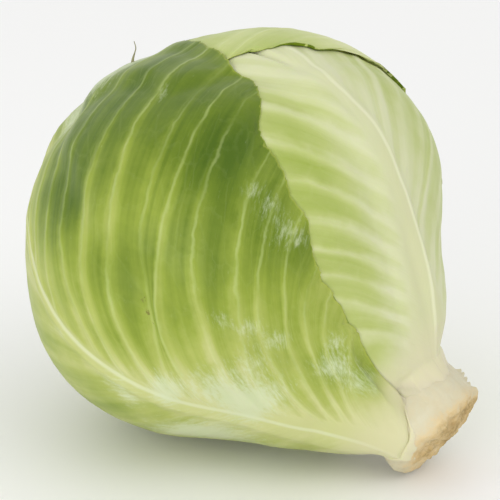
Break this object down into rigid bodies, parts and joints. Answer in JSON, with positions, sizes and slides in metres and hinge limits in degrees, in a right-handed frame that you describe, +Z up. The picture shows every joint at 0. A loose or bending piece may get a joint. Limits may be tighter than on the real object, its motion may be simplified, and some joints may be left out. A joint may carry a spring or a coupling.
{
  "type": "green cabbage",
  "caption": "Whole head of green cabbage with wrapper leaves over a dense heart, lying on its side with its cut stem stub low at one end.",
  "frame": {"origin": "centre of the bounding box, on the surface that the head rests on", "axes": "+Z up from that surface, +X level and along the longest extent, towards the side where the stem points down, +Y to the back of the head"},
  "size_m": [0.1748, 0.1636, 0.1534],
  "materials": {
    "heart_leaves": "waxy, satin",
    "pale_leaf": "waxy, satin",
    "back_leaf": "waxy, satin",
    "outer_leaf": "waxy, satin, with a pale bloom",
    "stem_flesh": "matt, browned and torn at the cut"
  },
  "bodies": {
    "root": {"heart": "heart_leaves", "leaf_inner": "pale_leaf", "leaf_upper": "pale_leaf", "leaf_back": "back_leaf", "leaf_front": "outer_leaf", "stem": "stem_flesh"}
  },
  "joints": []
}
